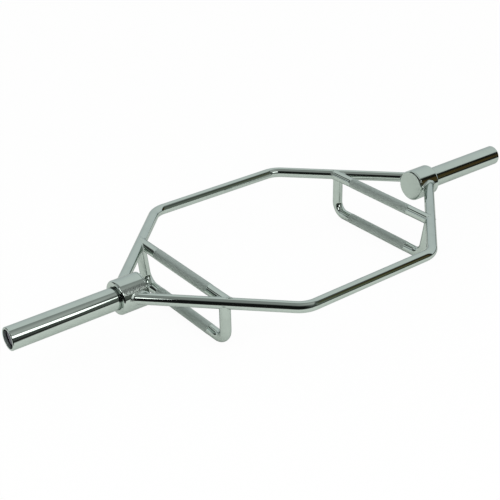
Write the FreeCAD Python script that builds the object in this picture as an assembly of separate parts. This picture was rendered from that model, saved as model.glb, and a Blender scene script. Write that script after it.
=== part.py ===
"""A hex trap bar: two bent frame bars welded into two hubs, a flush handle and a drop handle
on each side, and at each end a plate sleeve that turns on a spindle.

Millimetres. X runs along the sleeves, Y to the back and Z up. The origin is on the floor under
the middle of the bar, which stands on its two drop handles.
"""
import FreeCAD, Part
import math
import os

os.makedirs("parts", exist_ok=True)

Vec = FreeCAD.Vector

# Frame
frame_length = 934.0            # between the outer faces of the two hubs
frame_width = 564.0             # between the axes of the two long sides
long_side_length = 366.0        # between the bend points of a long side
frame_bar_diameter = 25.0
frame_bend_radius = 55.0        # at the axis of the bar
frame_rise = 3.0                # plane of the frame above the axis of the sleeves
bar_root_share = 0.4            # of the hub's radius, where the axis of a frame bar ends in the hub

# Handles
handle_setback = 171.0          # from the outer face of a hub back to the grips
flush_handle_diameter = 24.8
drop_handle_diameter = 24.8
knurl_length = 200.0
knurl_rise = 0.4                # crests of the knurled band above the plain bar
drop_depth = 100.0              # from the axis of the flush grip down to that of the drop grip
drop_bend_radius = 32.0         # at the axis of the bar
drop_lean = 7.0                 # tops of the legs, outboard of the grip
drop_splay = 9.0                # tops of the legs, beyond the corners of the grip

# Hubs
hub_diameter = 76.0
hub_length = 65.0               # with the cap
hub_edge_radius = 5.0
hub_cap_thickness = 6.0
hub_cap_chamfer = 2.5
hub_recess_gap = 0.3            # round the thrust washer, which lies in the hub's face

# Welds
hub_weld_size = 6.0
handle_weld_size = 4.0
flank_weld_size = 1.2           # where a round leg is as wide as the bar that it stands on
weld_root_depth = 2.0           # of the bead's root below both surfaces, before it is trimmed
weld_toe_depth = 0.3            # of the bead's edges, likewise
weld_sides = 36

# Sleeves and what they turn on
sleeve_diameter = 50.0
sleeve_exposed_length = 244.0   # from the hub's face to the open end
sleeve_end_wall = 4.5
sleeve_end_chamfer = 1.2
spindle_diameter = 30.0
spindle_tip_length = 4.0        # beyond its circlip
spindle_end_gap = 6.0           # to the end cap
bush_wall = 4.0
bush_length = 36.0
bush_inset = 3.0                # of the inner bush from the root of the sleeve
bush_shoulder = 1.5             # step in the sleeve's bore that a bush stops at
thrust_washer_diameter = 51.0   # a little wider than the sleeve
thrust_washer_thickness = 2.0
retaining_washer_diameter = 36.0
retaining_washer_thickness = 3.0
end_cap_thickness = 4.0
end_cap_setback = 8.0           # outer face of the cap from the end of the sleeve
circlip_thickness = 1.75
circlip_width = 3.4             # of the ring, along its radius
circlip_groove_depth = 1.2
circlip_opening = 9.0           # between the two ends of the ring
running_clearance = 0.05        # between spindle and bush, at the radius
washer_clearance = 0.1          # between spindle and washers, at the radius
end_play = 0.3                  # of the sleeve along the spindle, at each end

cut_overrun = 5.0               # of cutting shapes past what they cut

# Places worked out from the sizes above
frame_bar_radius = frame_bar_diameter / 2
flush_handle_radius = flush_handle_diameter / 2
drop_handle_radius = drop_handle_diameter / 2
hub_radius = hub_diameter / 2
hub_recess_radius = thrust_washer_diameter / 2 + hub_recess_gap
sleeve_radius = sleeve_diameter / 2
spindle_radius = spindle_diameter / 2
bush_bore_radius = spindle_radius + running_clearance
bush_radius = bush_bore_radius + bush_wall
middle_bore_radius = bush_radius - bush_shoulder
end_bore_radius = sleeve_radius - sleeve_end_wall

grip_z = drop_handle_radius + knurl_rise
frame_z = grip_z + drop_depth
axis_z = frame_z - frame_rise

hub_face_x = frame_length / 2
hub_inner_x = hub_face_x - hub_length
cap_seat_x = hub_inner_x + hub_cap_thickness
handle_x = hub_face_x - handle_setback
bend_x = long_side_length / 2
side_y = frame_width / 2

hub_recess_x = hub_face_x - thrust_washer_thickness
sleeve_root_x = hub_face_x + end_play
sleeve_end_x = hub_face_x + sleeve_exposed_length
end_cap_outer_x = sleeve_end_x - end_cap_setback
end_cap_inner_x = end_cap_outer_x - end_cap_thickness
spindle_end_x = end_cap_inner_x - spindle_end_gap
spindle_circlip_x = spindle_end_x - spindle_tip_length - circlip_thickness
retaining_washer_x = spindle_circlip_x - retaining_washer_thickness
outer_bush_end_x = retaining_washer_x - end_play
outer_bush_x = outer_bush_end_x - bush_length
inner_bush_x = sleeve_root_x + bush_inset
inner_bush_end_x = inner_bush_x + bush_length


def slant_y(x):
    """Distance of a slanted side's axis from the middle, on the way from its bend to the hub."""
    return side_y * (hub_face_x - x) / (hub_face_x - bend_x)


def rounded_path(points, radius):
    """Straight runs through the points, with a tangent arc of one radius at each inner point."""
    edges = []
    start = points[0]
    for before, corner, after in zip(points, points[1:], points[2:]):
        back = (before - corner).normalize()
        ahead = (after - corner).normalize()
        half_angle = back.getAngle(ahead) / 2
        middle = (back + ahead).normalize()
        reach = radius / math.tan(half_angle)
        arc_start = corner + back * reach
        arc_middle = corner + middle * (radius / math.sin(half_angle) - radius)
        arc_end = corner + ahead * reach
        edges.append(Part.LineSegment(start, arc_start).toShape())
        edges.append(Part.Arc(arc_start, arc_middle, arc_end).toShape())
        start = arc_end
    edges.append(Part.LineSegment(start, points[-1]).toShape())
    return Part.Wire(edges)


def bent_bar(points, bend_radius, bar_radius):
    """A solid round bar along a rounded path."""
    section = Part.Wire(Part.makeCircle(bar_radius, points[0], points[1] - points[0]))
    return rounded_path(points, bend_radius).makePipeShell([section], True, False)


def knurled_band(plain_radius, z):
    """The raised band in the middle of the right grips."""
    start = Vec(handle_x, -knurl_length / 2, z)
    return Part.makeCylinder(plain_radius + knurl_rise, knurl_length, start, Vec(0, 1, 0))


def turned(x_start, x_end, radius):
    """A cylinder on the axis of the sleeves."""
    return Part.makeCylinder(radius, x_end - x_start, Vec(x_start, 0, axis_z), Vec(1, 0, 0))


def ring(x_start, x_end, inner_radius, outer_radius):
    """A flat-ended tube on the axis of the sleeves."""
    bore = turned(x_start - cut_overrun, x_end + cut_overrun, inner_radius)
    return turned(x_start, x_end, outer_radius).cut(bore)


def end_rim(cylinder, pick):
    """The circle at one end of a turned cylinder: the outer end if pick is max, the inner if min."""
    return pick(cylinder.Edges, key=lambda edge: edge.CenterOfMass.x)


def split_ring(x_start, inner_radius, outer_radius):
    """A circlip: a thin ring with an opening at its top."""
    whole = ring(x_start, x_start + circlip_thickness, inner_radius, outer_radius)
    corner = Vec(x_start - cut_overrun, -circlip_opening / 2, axis_z)
    depth = circlip_thickness + 2 * cut_overrun
    return whole.cut(Part.makeBox(depth, circlip_opening, outer_radius + cut_overrun, corner))


def on_host(leg, host, radius, angle, host_radius):
    """The point where one line of a round leg, at a radius and angle about its axis, leaves the
    round host. A line that passes beside the host gives its nearest point to the host's axis."""
    across, along = leg["across"], leg["along"]
    base = leg["foot"] + across[0] * (radius * math.cos(angle)) + across[1] * (radius * math.sin(angle))
    axis = host["along"]
    start = base - host["foot"]
    start_off = start - axis * start.dot(axis)
    along_off = along - axis * along.dot(axis)
    a = along_off.dot(along_off)
    b = start_off.dot(along_off)
    c = start_off.dot(start_off) - host_radius ** 2
    travel = (math.sqrt(max(b * b - a * c, 0)) - b) / a
    return base + along * travel


def round_member(foot, along, radius):
    """A straight round bar, as a point of its axis, its direction and two directions across it."""
    along = along.normalize()
    level = along.cross(Vec(0, 0, 1))
    if level.Length < abs(along.z):
        level = along.cross(Vec(0, 1, 0))
    level = level.normalize()
    return {"foot": foot, "along": along, "radius": radius, "across": (level, along.cross(level))}


def weld_bead(leg, host, size):
    """A closed band of triangles round the joint of a round leg and a round host. Its section has
    a toe on the leg, a toe on the host and a root inside both. At the flanks of a leg that is about
    as wide as its host, the toe on the host draws in to the flank size."""
    sideways = host["along"].cross(leg["along"]).normalize()
    offset = (leg["foot"] - host["foot"]).dot(sideways)
    leg_root_radius = leg["radius"] - weld_root_depth
    host_root_radius = host["radius"] - weld_root_depth
    leg_toes, host_toes, roots = [], [], []
    for step in range(weld_sides):
        angle = 2 * math.pi * step / weld_sides
        outward = leg["across"][0] * math.cos(angle) + leg["across"][1] * math.sin(angle)
        lean = outward.dot(sideways)
        room = host["radius"] - math.copysign(1, lean) * offset
        widest = room / max(abs(lean), room / (leg["radius"] + size))
        toe_radius = max(widest, leg["radius"] + flank_weld_size)
        leg_toes.append(on_host(leg, host, leg["radius"] - weld_toe_depth, angle, host["radius"] + size))
        host_toes.append(on_host(leg, host, toe_radius, angle, host["radius"] - weld_toe_depth))
        roots.append(on_host(leg, host, leg_root_radius, angle, host_root_radius))
    faces = []
    for first, second in ((leg_toes, host_toes), (host_toes, roots), (roots, leg_toes)):
        for step in range(weld_sides):
            after = (step + 1) % weld_sides
            near_half = [first[step], first[after], second[step]]
            far_half = [first[after], second[after], second[step]]
            for corners in (near_half, far_half):
                faces.append(Part.Face(Part.makePolygon([*corners, corners[0]])))
    band = Part.makeSolid(Part.makeShell(faces))
    if band.Volume < 0:
        band.reverse()
    return band


def largest(shape):
    """The main solid of a shape that trimming has left in pieces."""
    return max(shape.Solids, key=lambda solid: solid.Volume)


def trimmed(shape, *others):
    """What is left of a shape outside the others."""
    for other in others:
        shape = shape.cut(other)
    return largest(shape)


# Frame bar along the back, from inside one hub to inside the other
root_y = hub_radius * bar_root_share
root_x = hub_face_x - root_y * (hub_face_x - bend_x) / side_y
rear_points = [
    Vec(-root_x, root_y, frame_z),
    Vec(-bend_x, side_y, frame_z),
    Vec(bend_x, side_y, frame_z),
    Vec(root_x, root_y, frame_z),
]
full_rear_bar = bent_bar(rear_points, frame_bend_radius, frame_bar_radius)
full_front_bar = full_rear_bar.rotated(Vec(0, 0, 0), Vec(0, 0, 1), 180)

# Hub of the right side: a turned block bored for the spindle and recessed for the thrust washer,
# and the cap on its inner end
hub_envelope = turned(hub_inner_x, hub_face_x, hub_radius)
hub_block = turned(cap_seat_x, hub_face_x, hub_radius)
hub_block = hub_block.makeFillet(hub_edge_radius, [end_rim(hub_block, max)])
hub = hub_block.cut(turned(cap_seat_x - cut_overrun, hub_face_x + cut_overrun, spindle_radius))
hub = hub.cut(turned(hub_recess_x, hub_face_x + cut_overrun, hub_recess_radius))
hub_cap = turned(hub_inner_x, cap_seat_x, hub_radius)
hub_cap = hub_cap.makeChamfer(hub_cap_chamfer, [end_rim(hub_cap, min)])

# Flush handle of the right side, coped to the two frame bars
full_flush_handle = Part.makeCylinder(
    flush_handle_radius, 2 * slant_y(handle_x), Vec(handle_x, -slant_y(handle_x), frame_z), Vec(0, 1, 0))
full_flush_handle = full_flush_handle.fuse(knurled_band(flush_handle_radius, frame_z))
flush_handle = trimmed(full_flush_handle, full_rear_bar, full_front_bar)

# Drop handle of the right side: its legs run up to the axes of the frame bars and are coped there
leg_top_x = handle_x + drop_lean
leg_top_y = slant_y(leg_top_x)
grip_corner_y = leg_top_y - drop_splay
drop_points = [
    Vec(leg_top_x, -leg_top_y, frame_z),
    Vec(handle_x, -grip_corner_y, grip_z),
    Vec(handle_x, grip_corner_y, grip_z),
    Vec(leg_top_x, leg_top_y, frame_z),
]
full_drop_handle = bent_bar(drop_points, drop_bend_radius, drop_handle_radius)
full_drop_handle = full_drop_handle.fuse(knurled_band(drop_handle_radius, grip_z))
drop_handle = trimmed(full_drop_handle, full_rear_bar, full_front_bar, full_flush_handle)

# Weld beads of the right side, at the back and the front of each joint
hub_axis = round_member(Vec(hub_face_x, 0, axis_z), Vec(1, 0, 0), hub_radius)
hub_welds, flush_welds, drop_welds = [], [], []
for side, full_bar in ((1, full_rear_bar), (-1, full_front_bar)):
    slant_foot = Vec(hub_face_x, 0, frame_z)
    slant_along = Vec(bend_x - hub_face_x, side * side_y, 0)
    slant_leg = round_member(slant_foot, slant_along, frame_bar_radius)
    hub_bead = weld_bead(slant_leg, hub_axis, hub_weld_size)
    hub_welds.append(trimmed(hub_bead, hub_envelope, full_bar))

    flush_foot = Vec(handle_x, side * slant_y(handle_x), frame_z)
    flush_leg = round_member(flush_foot, Vec(0, -side, 0), flush_handle_radius)
    flush_bead = weld_bead(flush_leg, slant_leg, handle_weld_size)
    flush_weld = trimmed(flush_bead, full_bar, full_flush_handle, full_drop_handle)
    flush_welds.append(flush_weld)

    drop_foot = Vec(leg_top_x, side * leg_top_y, frame_z)
    drop_along = Vec(handle_x, side * grip_corner_y, grip_z) - drop_foot
    drop_leg = round_member(drop_foot, drop_along, drop_handle_radius)
    drop_bead = weld_bead(drop_leg, slant_leg, handle_weld_size)
    drop_welds.append(trimmed(drop_bead, full_bar, full_drop_handle, full_flush_handle, flush_weld))

# Spindle of the right side, with the groove for its circlip
spindle_groove_radius = spindle_radius - circlip_groove_depth
spindle_groove_end_x = spindle_circlip_x + circlip_thickness
spindle_groove = ring(
    spindle_circlip_x, spindle_groove_end_x, spindle_groove_radius, spindle_radius + cut_overrun)
spindle = turned(cap_seat_x, spindle_end_x, spindle_radius).cut(spindle_groove)

# Bearings and what keeps the sleeve on the spindle
washer_bore_radius = spindle_radius + washer_clearance
thrust_washer = ring(hub_recess_x, hub_face_x, washer_bore_radius, thrust_washer_diameter / 2)
inner_bush = ring(inner_bush_x, inner_bush_end_x, bush_bore_radius, bush_radius)
outer_bush = ring(outer_bush_x, outer_bush_end_x, bush_bore_radius, bush_radius)
retaining_washer = ring(
    retaining_washer_x, spindle_circlip_x, washer_bore_radius, retaining_washer_diameter / 2)
spindle_circlip = split_ring(spindle_circlip_x, spindle_groove_radius, spindle_groove_radius + circlip_width)

# Sleeve of the right side: stepped bore for bushes and end cap, and a groove for the cap's circlip
end_groove_radius = end_bore_radius + circlip_groove_depth
sleeve = turned(sleeve_root_x, sleeve_end_x, sleeve_radius)
sleeve = sleeve.makeChamfer(sleeve_end_chamfer, [end_rim(sleeve, max)])
sleeve = sleeve.cut(turned(sleeve_root_x - cut_overrun, sleeve_end_x + cut_overrun, middle_bore_radius))
sleeve = sleeve.cut(turned(sleeve_root_x - cut_overrun, inner_bush_end_x, bush_radius))
sleeve = sleeve.cut(turned(outer_bush_x, sleeve_end_x + cut_overrun, bush_radius))
sleeve = sleeve.cut(turned(end_cap_inner_x, sleeve_end_x + cut_overrun, end_bore_radius))
sleeve = sleeve.cut(turned(end_cap_outer_x, end_cap_outer_x + circlip_thickness, end_groove_radius))
end_cap = turned(end_cap_inner_x, end_cap_outer_x, end_bore_radius)
end_cap_circlip = split_ring(end_cap_outer_x, end_groove_radius - circlip_width, end_groove_radius)

# Every piece in its own file. The left side is the right side turned half round.
one_side = {
    "flush_handle": flush_handle,
    "drop_handle": drop_handle,
    "hub": hub,
    "hub_cap": hub_cap,
    "hub_welds": Part.makeCompound(hub_welds),
    "flush_handle_welds": Part.makeCompound(flush_welds),
    "drop_handle_welds": Part.makeCompound(drop_welds),
    "spindle": spindle,
    "thrust_washer": thrust_washer,
    "inner_bush": inner_bush,
    "outer_bush": outer_bush,
    "retaining_washer": retaining_washer,
    "spindle_circlip": spindle_circlip,
    "sleeve": sleeve,
    "end_cap": end_cap,
    "end_cap_circlip": end_cap_circlip,
}
left_hub_envelope = hub_envelope.rotated(Vec(0, 0, 0), Vec(0, 0, 1), 180)
pieces = {
    "rear_frame_bar": trimmed(full_rear_bar, hub_envelope, left_hub_envelope),
    "front_frame_bar": trimmed(full_front_bar, hub_envelope, left_hub_envelope),
}
for name, shape in one_side.items():
    pieces["right_" + name] = shape
    pieces["left_" + name] = shape.rotated(Vec(0, 0, 0), Vec(0, 0, 1), 180)

for name, shape in pieces.items():
    shape.exportStep("parts/" + name + ".step")
    print(name, len(shape.Solids), "solids", round(shape.Volume), "mm3", shape.isValid())
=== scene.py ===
"""Looks of the hex trap bar: smooth plated bars, knurled grips, weld beads, hubs and turning sleeves,
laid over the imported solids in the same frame. Metres, X along the sleeves, Y to the back, Z up."""

import math

import bpy
import numpy as np
from mathutils import Matrix


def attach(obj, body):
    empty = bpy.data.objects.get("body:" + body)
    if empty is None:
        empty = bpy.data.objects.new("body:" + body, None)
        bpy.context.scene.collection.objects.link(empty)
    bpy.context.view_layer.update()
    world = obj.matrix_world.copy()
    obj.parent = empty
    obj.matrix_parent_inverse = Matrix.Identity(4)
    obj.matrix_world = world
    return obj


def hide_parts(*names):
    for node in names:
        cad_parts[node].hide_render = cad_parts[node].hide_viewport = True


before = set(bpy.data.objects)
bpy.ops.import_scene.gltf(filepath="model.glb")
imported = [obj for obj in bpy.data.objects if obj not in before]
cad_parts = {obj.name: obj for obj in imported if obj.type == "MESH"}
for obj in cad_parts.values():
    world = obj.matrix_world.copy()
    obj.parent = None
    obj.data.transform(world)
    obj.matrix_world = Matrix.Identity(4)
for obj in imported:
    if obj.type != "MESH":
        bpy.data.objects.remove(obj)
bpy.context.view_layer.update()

# Sizes of the bar, as in its solids
hub_face_x = 0.467
hub_inner_x = 0.402
cap_seat_x = 0.408
hub_radius = 0.038
hub_edge_radius = 0.005
hub_cap_chamfer = 0.0025
hub_recess_x = 0.465
hub_recess_radius = 0.0258
side_y = 0.282
bend_x = 0.183
bar_radius = 0.0125
bar_bend_radius = 0.055
bar_end_y = 0.024
frame_z = 0.1128
axis_z = 0.1098
handle_x = 0.296
handle_radius = 0.0124
knurl_length = 0.2
knurl_rise = 0.0004
grip_z = 0.0128
drop_lean = 0.007
drop_splay = 0.009
drop_bend_radius = 0.032
sleeve_radius = 0.025
sleeve_root_x = 0.4673
sleeve_end_x = 0.711
sleeve_chamfer = 0.0012
end_bore_radius = 0.0205
end_groove_radius = 0.0217
end_cap_outer_x = 0.703
end_cap_inner_x = 0.699
circlip_thickness = 0.00175
circlip_width = 0.0034
circlip_opening = 0.009
spindle_radius = 0.015
bush_radius = 0.01905
middle_bore_radius = 0.01755
washer_radius = 0.0255
washer_bore_radius = 0.0151
inner_bush_end_x = 0.5063
outer_bush_x = 0.64395
hub_weld_size = 0.006
handle_weld_size = 0.004
flank_weld_size = 0.0012

# Finer forms that only the looks have
straight_stops = np.array([0.0, 0.02, 0.5, 0.98, 1.0])   # rows on a straight run, as shares of it
bar_around = 128                # points round a frame bar
knurl_starts = 40               # grooves round the grip, each way
knurl_steps = 4                 # rows of points on each diamond, along the grip and round it
knurl_diamond = 0.003           # length of one diamond along the grip
knurl_runout = 0.0015           # length over which the knurl fades at its ends
knurl_gain = 1.25               # steepness of the grooves, which leaves a small flat on each diamond
groove_depth = 0.00035
crest_wear = 0.4                # how dull the crests are where the grooves have 1
plain_ys = (0.105, 0.135)       # rows on the plain ends of a flush handle
handle_tuck = 0.004             # from the last row but one of a flush handle to its end
bead_sink = 0.0003              # edges of a bead inside the bars
bead_depth = 0.002              # root of a bead inside the bars
bead_hollow = 0.6               # how far a bead's face is drawn in, as a share of its size
bead_ripple = 0.00016
bead_pitch = 0.0026             # from one ripple to the next
bead_bow = 2.2                  # how far the ripples bend into crescents
bead_swells = ((0.05, 3, 1), (0.04, 7, 2))   # slow changes of size: share, waves round the joint, phases
bead_rows = 11
ripple_points = 8
hub_bead_phase = 0.4            # where those changes of size begin, so that the joints differ
flush_bead_phase = 1.7
drop_bead_phase = 2.9
hub_seam_radius = 0.0009
recess_edge_radius = 0.0003
fine_edge_radius = 0.0002       # edges of bores, grooves and washers
barrel_rows = 64
hub_cap_dish = 0.0015           # how far the cap's face is hollowed in its middle
cap_edge_radius = 0.0008
cap_face_shares = np.linspace(0.03, 0.92, 12)   # rows on the cap's face, as shares of its radius
dresser_depth = 0.00005         # unevenness of the left hub above its front bead
dressed_angles = (24.0, 31.0, 44.0, 52.0)   # where that strip begins, is full, fades and ends, from level
mottle_limits = (0.3, 0.7)      # marks of the grinder that leave the strip least and most dull
# how rough the strip is and how far it is darkened by painted shade, at those marks
mottle_wear_and_shade = (0.35, 1.0)
mark_lengths = (0.003, 0.007)   # shortest and longest wave of those marks
mark_gain = 1.5
mark_seed = 11
sleeve_edge_radius = 0.0006     # at the root
sleeve_tip_radius = 0.0004
end_bore_edge_radius = 0.0005
disc_rim_width = 0.0032
disc_dish_depth = 0.0007
disc_back_radius = 0.004        # flat middle of the disc's back
disc_edge_radius = 0.0003
dish_edge_radius = 0.0002
pip_foot_radius = 0.0042
pip_top_radius = 0.0036
pip_flat_radius = 0.001
pip_rise = 0.0003
pip_edge_radius = 0.0001
disc_support = 0.00006          # distance of the points that keep the disc's faces flat
circlip_edge_radius = 0.0003
tiny = 1e-9                     # keeps a direction from having no length
touching = 1e-6                 # slack for points that lie on a surface


def slant_y(x):
    """Distance of a slanted side's axis from the middle: a straight line from the bend to the hub."""
    return side_y * (hub_face_x - x) / (hub_face_x - bend_x)


def unit(v):
    """Vectors along the last axis, divided by their lengths."""
    v = np.asarray(v, float)
    return v / np.linalg.norm(v, axis=-1, keepdims=True)


def bent_path(points, bend_radius, stops, arc_rows=28):
    """Places and directions along straight runs joined by tangent arcs. Each run is sampled at its own
    stops, shares of the run; each arc is its centre plus the radius turned evenly through its angle."""
    points = [np.asarray(p, float) for p in points]
    places, ways = [], []
    start = points[0]
    for before, corner, after, run_stops in zip(points, points[1:], points[2:], stops):
        back, ahead = unit(before - corner), unit(after - corner)
        half = math.acos(np.clip(back @ ahead, -1, 1)) / 2
        arc_start = corner + back * bend_radius / math.tan(half)
        centre = corner + unit(back + ahead) * bend_radius / math.sin(half)
        share = np.asarray(run_stops)[:, None]
        places.append(start + (arc_start - start) * share)
        ways.append(np.repeat(-back[None], len(share), 0))
        turn = np.linspace(0, math.pi - 2 * half, arc_rows)[1:-1, None]
        out = (arc_start - centre) / bend_radius
        places.append(centre + bend_radius * (np.cos(turn) * out - np.sin(turn) * back))
        ways.append(-np.sin(turn) * out - np.cos(turn) * back)
        start = corner + ahead * bend_radius / math.tan(half)
    share = np.asarray(stops[-1])[:, None]
    places.append(start + (points[-1] - start) * share)
    ways.append(np.repeat(unit(points[-1] - start)[None], len(share), 0))
    return np.concatenate(places), np.concatenate(ways)


def tube(places, ways, plane_normal, radius, around):
    """A round bar on a flat path: each row is a circle across the path, of its own radius at each angle."""
    angle = np.linspace(0, 2 * math.pi, around, endpoint=False)[None, :, None]
    normal = np.cross(plane_normal, ways)[:, None, :]
    ring = np.cos(angle) * normal + np.sin(angle) * np.asarray(plane_normal)
    radius = np.broadcast_to(radius, (len(places), around))
    return places[:, None, :] + radius[..., None] * ring


def rounded(corners, radii, closed=True, steps=6, support=0.00015):
    """An outline with each corner turned into an arc of its radius, worked out for all corners at once,
    and a point on each run just before and after the arc, which keeps the runs flat when shaded."""
    corners = np.asarray(corners, float)
    radii = np.asarray(radii, float)[:, None]
    middle = corners if closed else corners[1:-1]
    back = unit(np.roll(corners, 1, 0) - corners)
    ahead = unit(np.roll(corners, -1, 0) - corners)
    if not closed:
        back, ahead = back[1:-1], ahead[1:-1]
    half = np.arccos(np.clip((back * ahead).sum(1, keepdims=True), -1, 1)) / 2
    trim = radii / np.tan(half)
    start, end = middle + back * trim, middle + ahead * trim
    centre = middle + unit(back + ahead) * radii / np.sin(half)
    sweep = (math.pi - 2 * half)[:, None]
    share = np.linspace(0, 1, steps)[None, :, None]
    arc = (np.sin(sweep * (1 - share)) * (start - centre)[:, None]
           + np.sin(sweep * share) * (end - centre)[:, None]) / np.sin(sweep) + centre[:, None]
    runs = [(start + back * support)[:, None], arc, (end + ahead * support)[:, None]]
    outline = np.concatenate(runs, 1).reshape(-1, 2)
    return outline if closed else np.concatenate([corners[:1], outline, corners[-1:]])


def turned(outline, around=160):
    """An outline of places along the sleeve's axis and radii, carried round that axis."""
    angle = np.linspace(0, 2 * math.pi, around, endpoint=False)[None, :]
    x, r = outline[:, 0, None], outline[:, 1, None]
    return np.stack([x + 0 * angle, r * np.cos(angle), axis_z + r * np.sin(angle)], -1)


def turned_part_way(outline, first, last, around=120):
    """The same between two angles, as an open strip of sections."""
    angle = np.linspace(first, last, around)[:, None]
    x, r = outline[None, :, 0], outline[None, :, 1]
    return np.stack([x + 0 * angle, r * np.cos(angle), axis_z + r * np.sin(angle)], -1)


def member(foot, along, radius):
    """A straight round bar: a point of its axis, its direction, two directions across it and its radius."""
    along = unit(along)
    level = np.cross(along, (0, 0, 1))
    if np.linalg.norm(level) < abs(along[2]):
        level = np.cross(along, (0, 1, 0))
    level = unit(level)
    return {"foot": np.asarray(foot, float), "along": along, "radius": radius,
            "across": (level, np.cross(along, level))}


def bead(leg, host, size, phase):
    """A weld bead round the joint of two round bars. For each angle round the leg, a line beside the leg
    meets the host at the solution of a quadratic; that gives the bead's two edges and its root. Its face is
    a parabola between the edges, drawn in towards the joint, with crescent ripples and a slow change of
    size."""
    length = 2 * math.pi * (leg["radius"] + size / 2)
    ripples = round(length / bead_pitch)
    angle = np.linspace(0, 2 * math.pi, ripples * ripple_points, endpoint=False)
    outward = np.cos(angle)[:, None] * leg["across"][0] + np.sin(angle)[:, None] * leg["across"][1]
    axis = host["along"]

    def meet(radius, host_radius):
        base = leg["foot"] + outward * np.broadcast_to(radius, angle.shape)[:, None]
        start = base - host["foot"]
        start_off = start - np.outer(start @ axis, axis)
        way_off = leg["along"] - axis * (leg["along"] @ axis)
        a, b = way_off @ way_off, start_off @ way_off
        c = (start_off ** 2).sum(1) - np.asarray(host_radius) ** 2
        travel = (np.sqrt(np.maximum(b * b - a * c, 0)) - b) / a
        return base + travel[:, None] * leg["along"]

    waves = [share * np.sin(count * angle + turns * phase) for share, count, turns in bead_swells]
    swell = size * (1 + sum(waves))
    sideways = unit(np.cross(axis, leg["along"]))
    lean = outward @ sideways
    room = host["radius"] - np.sign(lean) * ((leg["foot"] - host["foot"]) @ sideways)
    widest = room / np.maximum(np.abs(lean), room / (leg["radius"] + swell))
    toe_radius = np.maximum(widest, leg["radius"] + flank_weld_size)
    leg_toe = meet(leg["radius"] - bead_sink, host["radius"] + swell)
    host_toe = meet(toe_radius, host["radius"] - bead_sink)
    corner = meet(leg["radius"], host["radius"])
    root = meet(leg["radius"] - bead_depth, host["radius"] - bead_depth)
    middle = (leg_toe + host_toe) / 2
    out = unit(middle - corner + tiny * outward)
    share = np.linspace(0, 1, bead_rows)[:, None, None]
    control = middle - out * (size * bead_hollow)
    face = (1 - share) ** 2 * host_toe + 2 * share * (1 - share) * control + share ** 2 * leg_toe
    crescent = ripples * angle[None, :] + bead_bow * (2 * share[..., 0] - 1) ** 2
    rise = bead_ripple * np.sin(math.pi * share[..., 0]) * (np.abs(np.sin(crescent / 2)) - 0.5)
    face = face + rise[..., None] * out
    return np.concatenate([face, root[None]])


def mesh_piece(name, parts, body, material, replaced, wear_and_shade=None, facets=None):
    """Puts grids of points into one mesh. A part is a grid and how it ends: 'capped' closes the first and
    last rows with flat faces, 'ring' joins the last row to the first. Columns always close on themselves.
    The UV map runs round and along each grid in metres. The wear and shade is a value for each point, kept
    as
    an attribute: the plating is rougher where it is high, and darker there by painted shade. Facets marks
    the rows whose faces stay flat."""
    points, faces, smooth, uvs, first = [], [], [], [], 0
    for grid, ends in parts:
        rows, cols = grid.shape[:2]
        ids = first + np.arange(rows * cols).reshape(rows, cols)
        below = np.concatenate([ids, ids[:1]]) if ends == "ring" else ids
        beside = np.roll(below, -1, 1)
        quads = np.stack([below[:-1], beside[:-1], beside[1:], below[1:]], -1).reshape(-1, 4)
        faces += quads.tolist()
        flat = np.zeros(len(below), bool) if facets is None else facets
        smooth += np.repeat(~(flat[:-1] | flat[1:]), cols).tolist()
        wide = np.concatenate([grid, grid[:, :1]], 1)
        step_round = np.linalg.norm(np.diff(wide, axis=1), axis=-1).max(0)
        u = np.concatenate([[0], np.cumsum(step_round)])
        tall = np.concatenate([grid, grid[:1]]) if ends == "ring" else grid
        v = np.concatenate([[0], np.cumsum(np.linalg.norm(np.diff(tall, axis=0), axis=-1).mean(1))])
        near, far = (np.repeat(edge[:, None], cols, 1) for edge in (v[:-1], v[1:]))
        left, right = (np.repeat(edge[None], len(v) - 1, 0) for edge in (u[:-1], u[1:]))
        corners = [np.stack(c, -1) for c in ((left, near), (right, near), (right, far), (left, far))]
        uvs.append(np.stack(corners, 2).reshape(-1, 2))
        if ends == "capped":
            faces += [ids[0][::-1].tolist(), ids[-1].tolist()]
            smooth += [False, False]
            for ring in (grid[0][::-1], grid[-1]):
                uvs.append((ring - ring.mean(0))[:, 1:])
        points.append(grid.reshape(-1, 3))
        first += rows * cols
    mesh = bpy.data.meshes.new(name)
    mesh.from_pydata(np.concatenate(points), [], faces)
    mesh.polygons.foreach_set("use_smooth", smooth)
    mesh.uv_layers.new(name="UVMap").data.foreach_set("uv", np.concatenate(uvs).ravel().astype(np.float32))
    if wear_and_shade is not None:
        worn_and_shaded = mesh.attributes.new("wear_and_shade", "FLOAT", "POINT")
        worn_and_shaded.data.foreach_set("value", wear_and_shade.ravel().astype(np.float32))
    mesh.materials.append(material)
    mesh.update()
    piece = bpy.data.objects.new(name, mesh)
    bpy.context.scene.collection.objects.link(piece)
    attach(piece, body)
    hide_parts(replaced)
    return piece


def half_turn(grid):
    """The same form on the left side: half a turn about the upright axis."""
    return grid * np.array([-1.0, -1.0, 1.0])


def node_tools(tree):
    """Short calls to add a node and to link what feeds it."""
    def add(kind, inputs=None, **settings):
        node = tree.nodes.new(kind)
        for key, value in settings.items():
            setattr(node, key, value)
        for key, value in (inputs or {}).items():
            socket = node.inputs[key]
            if isinstance(value, bpy.types.NodeSocket):
                tree.links.new(value, socket)
            else:
                socket.default_value = value
        return node
    return add


def math_node(add, operation, *values, clamp=False):
    """One sum of two or three values."""
    node = add("ShaderNodeMath", {i: v for i, v in enumerate(values)}, operation=operation, use_clamp=clamp)
    return node.outputs[0]


def product(add, *values):
    """Two or more values multiplied together."""
    result = values[0]
    for value in values[1:]:
        result = math_node(add, "MULTIPLY", result, value)
    return result


def ramp(add, value, low, high, out_low=0.0, out_high=1.0):
    """A smooth step of a value between two limits."""
    node = add("ShaderNodeMapRange", {"Value": value, "From Min": low, "From Max": high,
                                      "To Min": out_low, "To Max": out_high},
               interpolation_type="SMOOTHSTEP")
    return node.outputs["Result"]


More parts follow.
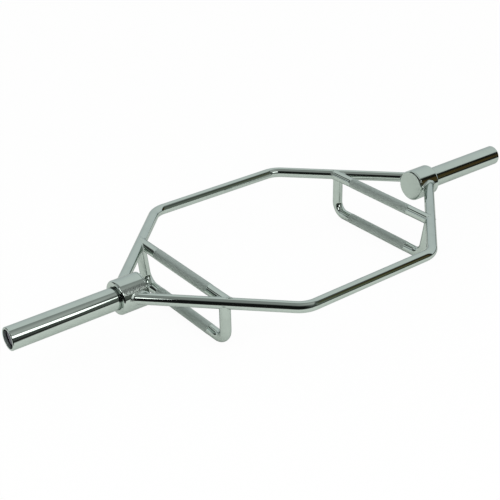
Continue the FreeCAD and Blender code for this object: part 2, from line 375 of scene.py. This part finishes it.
def mix_colour(add, share, first, second):
    """A colour part way between two."""
    node = add("ShaderNodeMix", data_type="RGBA", clamp_factor=True)
    for key, value in (("Factor", share), ("A", first), ("B", second)):
        socket = [s for s in node.inputs if s.name == key and s.enabled][0]
        if isinstance(value, bpy.types.NodeSocket):
            node.id_data.links.new(value, socket)
        else:
            socket.default_value = value
    return [s for s in node.outputs if s.enabled][0]


def effect_group(name, inputs, outputs, build):
    """A shader node group with named sockets. Inputs and outputs are name and type pairs."""
    tree = bpy.data.node_groups.new(name, "ShaderNodeTree")
    for way, sockets in (("INPUT", inputs), ("OUTPUT", outputs)):
        for label, kind in sockets:
            tree.interface.new_socket(label, in_out=way, socket_type="NodeSocket" + kind)
    add = node_tools(tree)
    source = add("NodeGroupInput").outputs
    results = build(add, source)
    add("NodeGroupOutput", results)
    return tree


def plating_marks(add, source):
    """Handling marks as soft cloudy patches, fine rubbed lines round the bar, and a slow waviness."""
    place = source["Place"]
    cloud = add("ShaderNodeTexNoise", {"Vector": place, "Scale": 23.0, "Detail": 4.0, "Roughness": 0.6})
    patch = ramp(add, cloud.outputs["Fac"], 0.46, 0.72)
    stretched = add("ShaderNodeMapping", {"Vector": source["Round"], "Scale": (30.0, 2600.0, 1.0)})
    lines = add("ShaderNodeTexNoise", {"Vector": stretched.outputs[0], "Scale": 1.0, "Detail": 2.0})
    rubbed = ramp(add, lines.outputs["Fac"], 0.4, 0.75)
    wave = add("ShaderNodeTexNoise", {"Vector": place, "Scale": 38.0, "Detail": 1.0})
    patchy = product(add, patch, source["Marks"])
    scored = product(add, rubbed, source["Lines"])
    return {"Marks": math_node(add, "ADD", patchy, scored), "Patch": patch,
            "Height": product(add, wave.outputs["Fac"], source["Wave"])}


marks_group = effect_group(
    "plating_marks",
    [("Place", "Vector"), ("Round", "Vector"), ("Marks", "Float"), ("Lines", "Float"), ("Wave", "Float")],
    [("Marks", "Float"), ("Patch", "Float"), ("Height", "Float")], plating_marks)


def finish(name):
    """A new material, its node adder and its Principled shader."""
    material = bpy.data.materials.new(name)
    material.use_nodes = True
    add = node_tools(material.node_tree)
    return material, add, material.node_tree.nodes["Principled BSDF"]


chrome_bright = (0.5, 0.566, 0.522)
chrome_dull = (0.475, 0.538, 0.496)
# dark tone of the painted shade in the knurl's grooves and on the left hub's ground strip
chrome_shade = (0.2, 0.22, 0.21)
chrome_edge = (0.7, 0.71, 0.71)     # tint of what it mirrors at a low angle


def plated(name, roughness, marks, lines, wave, worn_roughness=0.0, wear_and_shade_tone=0.0):
    """Chrome plating: cloudy handling marks and rubbed lines change its roughness and tone, and a slow
    waviness bends what it mirrors. Where the piece is worn or grooved it is rougher, and darker by painted
    shade."""
    material, add, shader = finish(name)
    coords = add("ShaderNodeTexCoord")
    effect = add("ShaderNodeGroup", node_tree=marks_group)
    for key, value in (("Marks", marks), ("Lines", lines), ("Wave", wave)):
        effect.inputs[key].default_value = value
    links = material.node_tree.links
    links.new(coords.outputs["Object"], effect.inputs["Place"])
    links.new(coords.outputs["UV"], effect.inputs["Round"])
    rough = math_node(add, "ADD", effect.outputs["Marks"], roughness)
    tone = mix_colour(add, effect.outputs["Patch"], (*chrome_bright, 1), (*chrome_dull, 1))
    if worn_roughness:
        worn_and_shaded = add("ShaderNodeAttribute", attribute_name="wear_and_shade").outputs["Fac"]
        rough = math_node(add, "ADD", rough, product(add, worn_and_shaded, worn_roughness))
        tone = mix_colour(add, product(add, worn_and_shaded, wear_and_shade_tone), tone, (*chrome_shade, 1))
    links.new(tone, shader.inputs["Base Color"])
    links.new(rough, shader.inputs["Roughness"])
    bump = add("ShaderNodeBump", {"Height": effect.outputs["Height"], "Strength": 0.35, "Distance": 0.0004})
    links.new(bump.outputs[0], shader.inputs["Normal"])
    shader.inputs["Metallic"].default_value = 1.0
    shader.inputs["Specular Tint"].default_value = (*chrome_edge, 1)
    return material


def moulded(name, colour, light, roughness, grain):
    """Moulded plastic: a fine leather grain, and a tone that wanders a little."""
    material, add, shader = finish(name)
    coords = add("ShaderNodeTexCoord").outputs["Object"]
    cloud = add("ShaderNodeTexNoise", {"Vector": coords, "Scale": 160.0, "Detail": 5.0})
    cells = add("ShaderNodeTexVoronoi", {"Vector": coords, "Scale": grain})
    links = material.node_tree.links
    links.new(mix_colour(add, cloud.outputs["Fac"], (*colour, 1), (*light, 1)), shader.inputs["Base Color"])
    rough = ramp(add, cloud.outputs["Fac"], 0.3, 0.7, roughness - 0.06, roughness + 0.08)
    links.new(rough, shader.inputs["Roughness"])
    bump = add("ShaderNodeBump", {"Height": cells.outputs["Distance"], "Strength": 0.3, "Distance": 0.0002})
    links.new(bump.outputs[0], shader.inputs["Normal"])
    return material


def machined(name, colour, dull, roughness, ring_scale):
    """Turned metal: fine rings about the sleeve's axis, seen as bands of roughness, and a cloudy tone."""
    material, add, shader = finish(name)
    coords = add("ShaderNodeTexCoord").outputs["Object"]
    cloud = add("ShaderNodeTexNoise", {"Vector": coords, "Scale": 90.0, "Detail": 4.0})
    rings = add("ShaderNodeTexWave", {"Vector": coords, "Scale": ring_scale, "Distortion": 1.0},
                bands_direction="X")
    links = material.node_tree.links
    links.new(mix_colour(add, cloud.outputs["Fac"], (*colour, 1), (*dull, 1)), shader.inputs["Base Color"])
    rough = ramp(add, rings.outputs["Fac"], 0.0, 1.0, roughness, roughness + 0.15)
    links.new(rough, shader.inputs["Roughness"])
    shader.inputs["Metallic"].default_value = 1.0
    return material


chrome = plated("plated_steel", roughness=0.035, marks=0.05, lines=0.03, wave=0.25)
# The knurl's grooves are darkened by painted shade; the wear there only adds roughness
chrome_grip = plated("plated_knurl", roughness=0.05, marks=0.06, lines=0.02, wave=0.1,
                     worn_roughness=0.36, wear_and_shade_tone=0.3)
# The ground strip on the left hub is rougher from grinding, and darker by painted shade
chrome_hub = plated("plated_hub", roughness=0.035, marks=0.05, lines=0.03, wave=0.25,
                    worn_roughness=0.4, wear_and_shade_tone=0.8)
chrome_weld = plated("plated_weld", roughness=0.2, marks=0.08, lines=0.0, wave=0.5)
bright_steel = machined("turned_steel", (0.5, 0.51, 0.52), (0.42, 0.42, 0.43), roughness=0.22,
                        ring_scale=900.0)
spring_steel = machined("blued_spring", (0.035, 0.036, 0.042), (0.02, 0.02, 0.022), roughness=0.35,
                        ring_scale=700.0)
bronze = machined("oiled_bronze", (0.55, 0.34, 0.14), (0.4, 0.24, 0.1), roughness=0.3, ring_scale=500.0)
black_nylon = moulded("black_nylon", (0.012, 0.012, 0.012), (0.02, 0.02, 0.02), roughness=0.4, grain=1800.0)
grey_plastic = moulded("grey_end_plastic", (0.15, 0.152, 0.17), (0.18, 0.182, 0.2), roughness=0.5,
                       grain=1600.0)

# Frame bars, bent round the back and the front
up = np.array([0.0, 0.0, 1.0])
bar_end_x = hub_face_x - bar_end_y * (hub_face_x - bend_x) / side_y
rear_path = bent_path(
    [(bar_end_x, bar_end_y, frame_z), (bend_x, side_y, frame_z), (-bend_x, side_y, frame_z),
     (-bar_end_x, bar_end_y, frame_z)], bar_bend_radius, [straight_stops] * 3)
rear_bar = tube(*rear_path, up, bar_radius, bar_around)
mesh_piece("rear_bar", [(rear_bar, "capped")], "frame", chrome, "rear_frame_bar")
front_piece = mesh_piece("front_bar", [(half_turn(rear_bar), "capped")], "frame", chrome,
                         "front_frame_bar")


def knurl(along):
    """Height of the knurl, 0 to 1, at distances along the grip and evenly round it, and how far it has
    faded in from its ends. Two sets of straight-sided grooves wind round the grip in opposite directions,
    and the lower of the two counts."""
    turn = np.arange(knurl_starts * knurl_steps)[None, :] / knurl_steps
    wind = along[:, None] / knurl_diamond
    ridges = [1 - np.abs(2 * ((turn + side * wind) % 1) - 1) for side in (1, -1)]
    fade = np.clip((knurl_length / 2 - np.abs(along)) / knurl_runout, 0, 1)[:, None]
    return np.minimum(knurl_gain * np.minimum(*ridges), 1), fade


def grip_radius(along):
    """Radius of a grip, and how worn and shaded each point is: partly on the crests and fully in the
    grooves, where the darker tone is painted shade.
    """
    height, fade = knurl(along)
    radius = handle_radius + fade * (knurl_rise - groove_depth * (1 - height))
    return radius, fade * (crest_wear + (1 - crest_wear) * (1 - height))


row_step = knurl_diamond / knurl_steps
knurl_rows = np.arange(-knurl_length / 2, knurl_length / 2 + row_step / 2, row_step)

# Flush handles: straight, their ends inside the frame bars
flush_end_y = slant_y(handle_x)
plain_rows = np.array([*plain_ys, flush_end_y - handle_tuck, flush_end_y])
flush_rows = np.concatenate([-plain_rows[::-1], knurl_rows, plain_rows])
flush_places = np.stack([0 * flush_rows + handle_x, flush_rows, 0 * flush_rows + frame_z], -1)
flush_ways = np.repeat([[0.0, 1.0, 0.0]], len(flush_rows), 0)
flush_radius, flush_groove = grip_radius(flush_rows)
flush_handle = tube(flush_places, flush_ways, up, flush_radius, knurl_starts * knurl_steps)

# Drop handles: a flat U that leans outwards, its legs ending inside the frame bars
leg_top_x = handle_x + drop_lean
leg_top_y = slant_y(leg_top_x)
grip_corner_y = leg_top_y - drop_splay
drop_points = np.array([
    (leg_top_x, -leg_top_y, frame_z), (handle_x, -grip_corner_y, grip_z),
    (handle_x, grip_corner_y, grip_z), (leg_top_x, leg_top_y, frame_z)])
leg_way, grip_way = unit(drop_points[1] - drop_points[0]), np.array([0.0, 1.0, 0.0])
drop_half = math.acos(np.clip(-leg_way @ grip_way, -1, 1)) / 2
grip_half = grip_corner_y - drop_bend_radius / math.tan(drop_half)
grip_stops = np.concatenate([[-grip_half], knurl_rows, [grip_half]]) / (2 * grip_half) + 0.5
drop_places, drop_ways = bent_path(
    drop_points, drop_bend_radius, [straight_stops, grip_stops, straight_stops])
drop_flat = unit(np.cross(leg_way, grip_way))
on_grip = np.abs(drop_places[:, 1]) <= knurl_length / 2 + knurl_diamond
drop_along = np.where(on_grip, drop_places[:, 1], knurl_length)
drop_radius, drop_groove = grip_radius(drop_along)
drop_handle = tube(drop_places, drop_ways, drop_flat, drop_radius, knurl_starts * knurl_steps)

# Hubs with a rounded outer edge and a recess for the thrust washer. The left one is ground above a bead,
# and the darker tone of that strip is painted shade
hub_outline = rounded(
    [(cap_seat_x, hub_radius), (hub_face_x, hub_radius), (hub_face_x, hub_recess_radius),
     (hub_recess_x, hub_recess_radius), (hub_recess_x, spindle_radius), (cap_seat_x, spindle_radius)],
    [hub_seam_radius, hub_edge_radius, recess_edge_radius] + [fine_edge_radius] * 3, steps=9)
barrel_start = np.argmax(hub_outline[:, 0] > cap_seat_x + hub_seam_radius)
barrel_x = np.linspace(*hub_outline[barrel_start:barrel_start + 2, 0], barrel_rows)[1:-1]
barrel = np.stack([barrel_x, 0 * barrel_x + hub_radius], -1)
hub_outline = np.concatenate([hub_outline[:barrel_start + 1], barrel, hub_outline[barrel_start + 1:]])
hub = turned(hub_outline, around=256)


def dressed(points):
    """A strip of the barrel that was ground above its bead: 0 to 1 by its angle, with sloping sides."""
    angle = np.degrees(np.arctan2(points[..., 2] - axis_z, points[..., 1]))
    return np.interp(angle, dressed_angles, (0, 1, 1, 0))


def grinder_marks(points, count=24):
    """Unevenness, 0 to about 1: the mean of cosine waves a few millimetres long in seeded directions."""
    rng = np.random.default_rng(mark_seed)
    waves = unit(rng.normal(size=(count, 3))) * 2 * math.pi / rng.uniform(*mark_lengths, (count, 1))
    return 0.5 + mark_gain * np.cos(points @ waves.T + rng.uniform(0, 2 * math.pi, count)).mean(-1)


spoke = (hub - np.array([0, 0, axis_z])) * np.array([0, 1, 1])
on_barrel = np.linalg.norm(spoke, axis=-1) > hub_radius - touching
marks = grinder_marks(hub)
# roughness of the ground strip, and the share of painted shade that darkens its tone
hub_grind_and_shade = dressed(hub) * on_barrel * np.interp(marks, mottle_limits, mottle_wear_and_shade)
ground_hub = hub - unit(spoke) * (dresser_depth * hub_grind_and_shade * marks)[..., None]
hubs = {"right": (hub, chrome, None), "left": (ground_hub, chrome_hub, hub_grind_and_shade)}

# Hub caps with a hollowed face, and thrust washers
cap_face_radius = hub_radius - hub_cap_chamfer
cap_face = np.stack([hub_inner_x + hub_cap_dish * (1 - cap_face_shares ** 2),
                     cap_face_shares * cap_face_radius], -1)
hub_cap = turned(np.concatenate([cap_face[:-1], rounded(
    [cap_face[-1], (hub_inner_x, cap_face_radius), (hub_inner_x + hub_cap_chamfer, hub_radius),
     (cap_seat_x, hub_radius), (cap_seat_x, hub_radius / 2)],
    [cap_edge_radius, cap_edge_radius, hub_seam_radius], closed=False)]))
thrust_washer = turned(rounded(
    [(hub_recess_x, washer_radius), (hub_face_x, washer_radius), (hub_face_x, washer_bore_radius),
     (hub_recess_x, washer_bore_radius)], [fine_edge_radius] * 4))

# Sleeves with their stepped bore and the groove for the end circlip
groove_x = end_cap_outer_x + circlip_thickness
sleeve = turned(rounded(
    [(sleeve_root_x, sleeve_radius), (sleeve_end_x - sleeve_chamfer, sleeve_radius),
     (sleeve_end_x, sleeve_radius - sleeve_chamfer), (sleeve_end_x, end_bore_radius),
     (groove_x, end_bore_radius), (groove_x, end_groove_radius), (end_cap_outer_x, end_groove_radius),
     (end_cap_outer_x, end_bore_radius), (end_cap_inner_x, end_bore_radius), (end_cap_inner_x, bush_radius),
     (outer_bush_x, bush_radius), (outer_bush_x, middle_bore_radius),
     (inner_bush_end_x, middle_bore_radius), (inner_bush_end_x, bush_radius), (sleeve_root_x, bush_radius)],
    [sleeve_edge_radius, sleeve_tip_radius, sleeve_tip_radius, end_bore_edge_radius]
    + [fine_edge_radius] * 10 + [sleeve_edge_radius]), around=192)

# End caps: a moulded disc, dished inside a flat rim, with a shallow round pip in the middle
disc_rim_radius = end_bore_radius - disc_rim_width
dish_x = end_cap_outer_x - disc_dish_depth
end_cap = turned(rounded(
    [(end_cap_inner_x, disc_back_radius), (end_cap_inner_x, end_bore_radius),
     (end_cap_outer_x, end_bore_radius), (end_cap_outer_x, disc_rim_radius),
     (dish_x, disc_rim_radius - disc_dish_depth), (dish_x, pip_foot_radius),
     (dish_x + pip_rise, pip_top_radius), (dish_x + pip_rise, pip_flat_radius)],
    [disc_edge_radius] * 2 + [dish_edge_radius] * 2 + [pip_edge_radius] * 2, closed=False,
    support=disc_support))

# Circlips in front of the discs, open at the top
half_gap = circlip_opening / 2 / (end_groove_radius - circlip_width / 2)
circlip_in = end_groove_radius - circlip_width
circlip = turned_part_way(rounded(
    [(end_cap_outer_x, end_groove_radius), (groove_x, end_groove_radius), (groove_x, circlip_in),
     (end_cap_outer_x, circlip_in)], [circlip_edge_radius] * 4, steps=4),
    math.pi / 2 + half_gap, 5 * math.pi / 2 - half_gap)

# Weld beads at both ends of each joint of the right side
hub_beads, flush_beads, drop_beads = [], [], []
hub_member = member((hub_face_x, 0, axis_z), (1, 0, 0), hub_radius)
for side in (1, -1):
    bar_member = member((hub_face_x, 0, frame_z), (bend_x - hub_face_x, side * side_y, 0), bar_radius)
    flush_member = member((handle_x, side * flush_end_y, frame_z), (0, -side, 0), handle_radius)
    leg_foot = np.array([leg_top_x, side * leg_top_y, frame_z])
    leg_end = np.array([handle_x, side * grip_corner_y, grip_z])
    leg_member = member(leg_foot, leg_end - leg_foot, handle_radius)
    hub_beads.append((bead(bar_member, hub_member, hub_weld_size, hub_bead_phase + side), "ring"))
    flush_beads.append((bead(flush_member, bar_member, handle_weld_size, flush_bead_phase + side), "ring"))
    drop_beads.append((bead(leg_member, bar_member, handle_weld_size, drop_bead_phase + side), "ring"))

for side, turn in (("right", lambda grid: grid), ("left", half_turn)):
    sleeve_body = side + "_sleeve_assembly"
    mesh_piece(side + "_flush_grip", [(turn(flush_handle), "capped")], "frame", chrome_grip,
               side + "_flush_handle", flush_groove, flush_groove.max(1) > 0)
    mesh_piece(side + "_drop_grip", [(turn(drop_handle), "capped")], "frame", chrome_grip,
               side + "_drop_handle", drop_groove, drop_groove.max(1) > 0)
    block, plating, wear_and_shade = hubs[side]
    mesh_piece(side + "_hub_block", [(turn(block), "ring")], "frame", plating,
               side + "_hub", wear_and_shade)
    mesh_piece(side + "_hub_disc", [(turn(hub_cap), "capped")], "frame", chrome,
               side + "_hub_cap")
    mesh_piece(side + "_washer", [(turn(thrust_washer), "ring")], "frame", black_nylon,
               side + "_thrust_washer")
    mesh_piece(side + "_plate_sleeve", [(turn(sleeve), "ring")], sleeve_body, chrome,
               side + "_sleeve")
    mesh_piece(side + "_end_disc", [(turn(end_cap), "capped")], sleeve_body, grey_plastic,
               side + "_end_cap")
    mesh_piece(side + "_end_circlip", [(turn(circlip), "capped")], sleeve_body,
               spring_steel, side + "_end_cap_circlip")
    for beads, joint in ((hub_beads, "hub"), (flush_beads, "flush"), (drop_beads, "drop")):
        welds = "_hub_welds" if joint == "hub" else "_" + joint + "_handle_welds"
        mesh_piece(side + "_" + joint + "_beads", [(turn(grid), ends) for grid, ends in beads], "frame",
                   chrome_weld, side + welds)
    for node, material in (("spindle", bright_steel), ("retaining_washer", bright_steel),
                           ("spindle_circlip", spring_steel),
                           ("inner_bush", bronze), ("outer_bush", bronze)):
        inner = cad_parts[side + "_" + node]
        inner.data.materials.clear()
        inner.data.materials.append(material)

# Floor: plain and pale, white to the camera with the bar's soft shadow kept. What the chrome mirrors of it
# is a sheet of white paper that ends a little way in front of the bar and to its right
to_front = np.array([-0.74, -0.672, 0.0])
to_right = np.array([0.672, -0.74, 0.0])
paper_front, paper_front_blur = 0.665, 0.05
paper_right, paper_right_blur = 0.913, 0.06
paper_colour = (0.9, 0.92, 0.89, 1)
beyond_paper = (0.024, 0.024, 0.022, 1)
camera_white = 0.95             # share of plain white that the camera sees, the rest keeps the shadow
floor_half = 30.0


def reach(add, vector, direction):
    """How far a vector goes in a direction."""
    node = add("ShaderNodeVectorMath", {0: vector, 1: tuple(direction)}, operation="DOT_PRODUCT")
    return node.outputs["Value"]


def by_mirror(add, rays):
    """1 for a ray that comes by way of a mirroring or clear surface."""
    return math_node(add, "MAXIMUM", rays["Is Glossy Ray"], rays["Is Transmission Ray"])


def pale_floor():
    """A level square with the paper's colour, and where it is mirrored a dark ground beyond the paper.
    The paper's edges are soft steps of the distance to the front and to the right."""
    mesh = bpy.data.meshes.new("floor")
    corners = np.array([(-1, -1, 0), (1, -1, 0), (1, 1, 0), (-1, 1, 0)]) * floor_half
    mesh.from_pydata(corners, [], [(0, 1, 2, 3)])
    material = bpy.data.materials.new("pale_floor")
    material.use_nodes = True
    material.node_tree.nodes.clear()
    add = node_tools(material.node_tree)
    rays = add("ShaderNodeLightPath").outputs
    place = add("ShaderNodeTexCoord").outputs["Object"]
    before = ramp(add, reach(add, place, to_front), paper_front + paper_front_blur,
                  paper_front - paper_front_blur)
    beside = ramp(add, reach(add, place, to_right), paper_right + paper_right_blur,
                  paper_right - paper_right_blur)
    off_paper = math_node(add, "SUBTRACT", 1.0, product(add, before, beside))
    dark = product(add, by_mirror(add, rays), off_paper)
    sheet = add("ShaderNodeBsdfDiffuse", {"Color": mix_colour(add, dark, paper_colour, beyond_paper)})
    white = add("ShaderNodeEmission", {"Color": (1, 1, 1, 1), "Strength": 1.0})
    seen = product(add, rays["Is Camera Ray"], camera_white)
    both = add("ShaderNodeMixShader", {0: seen, 1: sheet.outputs[0], 2: white.outputs[0]})
    add("ShaderNodeOutputMaterial", {"Surface": both.outputs[0]})
    mesh.materials.append(material)
    piece = bpy.data.objects.new("floor", mesh)
    bpy.context.scene.collection.objects.link(piece)
    return piece


floor = pale_floor()

# Room: even soft light on the bar, white behind it for the camera, and for the chrome a studio with a
# white sweep behind the bar, a grey ceiling, darkening walls to the right, panels to the far left and an
# unlit side towards the camera
even_light = 0.86
room_dark = (0.0095, 0.01, 0.01, 1)
room_dim = (0.08, 0.087, 0.083, 1)
room_overhead = (0.2, 0.213, 0.205, 1)
right_walls = (                 # headings where each begins and is full, and its colour
    (-70.0, -60.0, (0.16, 0.18, 0.158, 1)), (-56.0, -50.0, (0.11, 0.124, 0.068, 1)),
    (-50.0, -45.0, (0.08, 0.053, 0.019, 1)), (-43.0, -40.0, (0.012, 0.012, 0.01, 1)))
ceiling_far = (0.33, 0.345, 0.34, 1)
ceiling_near = (0.6, 0.61, 0.6, 1)
left_gap = (0.03, 0.032, 0.03, 1)
left_panel = (0.7, 0.735, 0.725, 1)
sweep_low = (0.75, 0.79, 0.82, 1)
sweep_high = (0.805, 0.84, 0.84, 1)


def studio_room(add, way):
    """Colour of the studio in a direction. Each zone is a product of soft steps by heading, in degrees from
    the right sleeve towards the back, by height, the upright part of the direction, or by the direction's
    reach along a line, and later zones cover earlier ones."""
    axes = add("ShaderNodeSeparateXYZ", {"Vector": way}).outputs
    turn = product(add, math_node(add, "ARCTAN2", axes["Y"], axes["X"]), 180 / math.pi)

    def heading(first, last):
        return ramp(add, turn, first, last)

    def height(first, last):
        return ramp(add, axes["Z"], first, last)

    dim = product(add, heading(-105.0, -80.0), heading(120.0, 100.0))
    room = mix_colour(add, dim, room_dark, room_dim)
    for first, last, colour in right_walls:
        wall = product(add, heading(first, last), heading(90.0, 70.0), height(0.66, 0.58))
        room = mix_colour(add, wall, room, colour)
    room = mix_colour(add, height(0.74, 0.84), room, room_overhead)
    ceiling = product(add, ramp(add, reach(add, way, to_front + (0, 0, -0.55)), 0.4, -0.5),
                      ramp(add, reach(add, way, (1, 0, -0.49)), 0.09, -0.02))
    spill = ramp(add, axes["Y"], 0.1, -0.6)
    room = mix_colour(add, ceiling, room, mix_colour(add, spill, ceiling_far, ceiling_near))
    panel = product(add, height(0.42, 0.47), height(0.69, 0.65), heading(120.0, 128.0))
    bands = mix_colour(add, panel, left_gap, left_panel)
    low_panel = product(add, height(0.34, 0.28), heading(134.0, 139.0))
    bands = mix_colour(add, low_panel, bands, sweep_low)
    far_left = product(add, heading(104.0, 112.0), heading(172.0, 152.0), height(0.8, 0.76))
    room = mix_colour(add, far_left, room, bands)
    sweep = product(add, ramp(add, reach(add, way, (0.69, 0.62, -0.36)), -0.04, 0.04),
                    heading(118.0, 106.0), heading(-34.0, -28.0))
    return mix_colour(add, sweep, room, mix_colour(add, height(0.0, 0.8), sweep_low, sweep_high))


world = bpy.data.worlds.new("studio")
bpy.context.scene.world = world
world.use_nodes = True
world.node_tree.nodes.clear()
add = node_tools(world.node_tree)
rays = add("ShaderNodeLightPath").outputs
way = add("ShaderNodeTexCoord").outputs["Generated"]
studio = add("ShaderNodeBackground", {"Color": studio_room(add, way), "Strength": 1.0})
glow = math_node(add, "ADD", even_light, product(add, rays["Is Camera Ray"], 1 - even_light))
even = add("ShaderNodeBackground", {"Color": (1, 1, 1, 1), "Strength": glow})
lit = add("ShaderNodeMixShader", {0: by_mirror(add, rays), 1: even.outputs[0], 2: studio.outputs[0]})
add("ShaderNodeOutputWorld", {"Surface": lit.outputs[0]})

# Two soft boxes in front, one on each side of the camera, both aimed at the left hub
left_hub = np.array([-0.45, -0.02, 0.12])


def aim(place, target):
    """A lamp's place and turn, looking from one point to another."""
    back = unit(np.asarray(place, float) - target)
    right = unit(np.cross((0, 0, 1), back))
    axes = np.stack([right, np.cross(back, right), back], 1)
    matrix = Matrix(axes.tolist()).to_4x4()
    matrix.translation = place
    return matrix


def soft_box(name, heading, height, distance, wide, tall, roll, radiance):
    """A rectangular lamp at a heading, height and distance from the left hub, rolled about the line to it.
    Its power is its radiance times its area and pi."""
    data = bpy.data.lights.new(name, "AREA")
    data.shape = "RECTANGLE"
    data.size, data.size_y = wide, tall
    data.energy = radiance * math.pi * wide * tall
    lamp = bpy.data.objects.new(name, data)
    level, rise = math.radians(heading), math.radians(height)
    away = np.array([math.cos(level) * math.cos(rise), math.sin(level) * math.cos(rise), math.sin(rise)])
    rolled = Matrix.Rotation(math.radians(roll), 4, "Z")
    lamp.matrix_world = aim(left_hub + distance * away, left_hub) @ rolled
    bpy.context.scene.collection.objects.link(lamp)
    return lamp


right_box = soft_box("right_soft_box", heading=-82.2, height=36.0, distance=2.54, wide=1.59, tall=0.76,
                     roll=-23.0, radiance=2.6)
soft_box("left_soft_box", heading=-168.0, height=42.0, distance=2.2, wide=1.2, tall=0.45, roll=3.0,
         radiance=3.2)

# The front bar is shaded from the right one
shaded = bpy.data.collections.new("shaded_from_right_box")
shaded.objects.link(front_piece)
shaded.collection_objects[0].light_linking.link_state = "EXCLUDE"
right_box.light_linking.receiver_collection = shaded

# Camera at the photograph's angle
camera_heading = math.radians(37.301)
camera_height = math.radians(28.707)
camera_roll = math.radians(-0.848)
camera_distance = 2.329528
camera_target = np.array([-0.111616, 0.0, axis_z - 0.007684])
image_width = 500
focal_pixels = 1025.852
towards = np.array([-math.sin(camera_heading) * math.cos(camera_height),
                    -math.cos(camera_heading) * math.cos(camera_height), math.sin(camera_height)])
level_right = np.array([math.cos(camera_heading), -math.sin(camera_heading), 0])
level_up = np.cross(level_right, -towards)
cos_roll, sin_roll = math.cos(camera_roll), math.sin(camera_roll)
camera_axes = np.stack([cos_roll * level_right + sin_roll * level_up,
                        cos_roll * level_up - sin_roll * level_right, towards], 1)
camera_data = bpy.data.cameras.new("camera")
camera_data.sensor_fit = "HORIZONTAL"
camera_data.lens = focal_pixels * camera_data.sensor_width / image_width
camera_data.clip_end = 200
camera = bpy.data.objects.new("camera", camera_data)
camera.matrix_world = Matrix(camera_axes.tolist()).to_4x4()
camera.matrix_world.translation = camera_target + camera_distance * towards
bpy.context.scene.collection.objects.link(camera)
bpy.context.scene.camera = camera
bpy.context.scene.view_settings.view_transform = "Standard"
